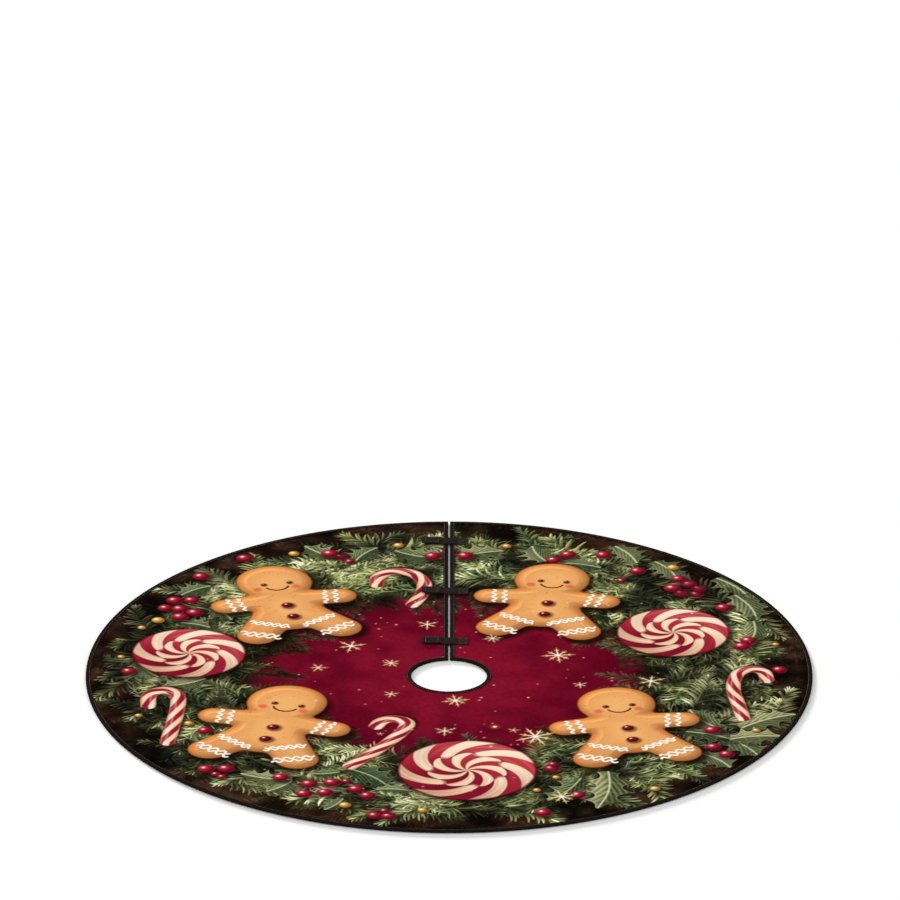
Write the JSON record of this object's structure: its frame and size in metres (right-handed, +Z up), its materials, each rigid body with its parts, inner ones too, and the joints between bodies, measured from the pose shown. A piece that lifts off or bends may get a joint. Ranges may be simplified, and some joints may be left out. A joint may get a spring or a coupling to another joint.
{
  "type": "tree skirt",
  "caption": "Round printed tree skirt that lies flat, with a trunk hole, a slit to let the trunk in, folded edge bindings and hook and loop straps across the slit.",
  "frame": {"origin": "centre of the trunk hole, on the floor plane that the undersides of the bindings rest on", "axes": "+Z up, square to the cloth; +Y along the slit from the trunk hole to the rim, so -Y is the front; +X to the right seen from the front"},
  "size_m": [1.2199, 1.2199, 0.007],
  "materials": {
    "printed_face": "woven polyester with a winter wreath print in wine red, dark green, dark brown and gold",
    "plain_lining": "plain off-white polyester lining",
    "binding_tape": "near black folded binding tape",
    "strap_webbing": "near black ribbed strap",
    "hook_tape": "near black nylon hook tape",
    "loop_tape": "near black brushed nylon loop tape"
  },
  "bodies": {
    "skirt": {"face_cloth_main": "printed_face", "lining_main": "plain_lining", "rim_binding_main": "binding_tape", "hole_binding_main": "binding_tape", "slit_binding_main": "binding_tape", "loop_patch_1": "loop_tape", "loop_patch_2": "loop_tape", "loop_patch_3": "loop_tape"},
    "leaf": {"face_cloth_leaf": "printed_face", "lining_leaf": "plain_lining", "rim_binding_leaf": "binding_tape", "hole_binding_leaf": "binding_tape", "slit_binding_leaf": "binding_tape", "strap_1_sewn_end": "strap_webbing", "strap_2_sewn_end": "strap_webbing", "strap_3_sewn_end": "strap_webbing"},
    "closing_strap_1": {"strap_1": "strap_webbing", "hook_patch_1": "hook_tape"},
    "closing_strap_2": {"strap_2": "strap_webbing", "hook_patch_2": "hook_tape"},
    "closing_strap_3": {"strap_3": "strap_webbing", "hook_patch_3": "hook_tape"}
  },
  "joints": [
    {"name": "leaf_fold", "type": "hinge", "parent": "skirt", "child": "leaf", "pos_m": [0.3, 0, 0.0038], "axis": [1, 0, 0], "range_deg": [0, 150]},
    {"name": "strap_1_peel", "type": "hinge", "parent": "leaf", "child": "closing_strap_1", "pos_m": [0.0145, 0.1335, 0.0042], "axis": [0, 1, 0], "range_deg": [0, 165]},
    {"name": "strap_2_peel", "type": "hinge", "parent": "leaf", "child": "closing_strap_2", "pos_m": [0.0145, 0.33175, 0.0042], "axis": [0, 1, 0], "range_deg": [0, 165]},
    {"name": "strap_3_peel", "type": "hinge", "parent": "leaf", "child": "closing_strap_3", "pos_m": [0.0145, 0.53, 0.0042], "axis": [0, 1, 0], "range_deg": [0, 165]}
  ]
}
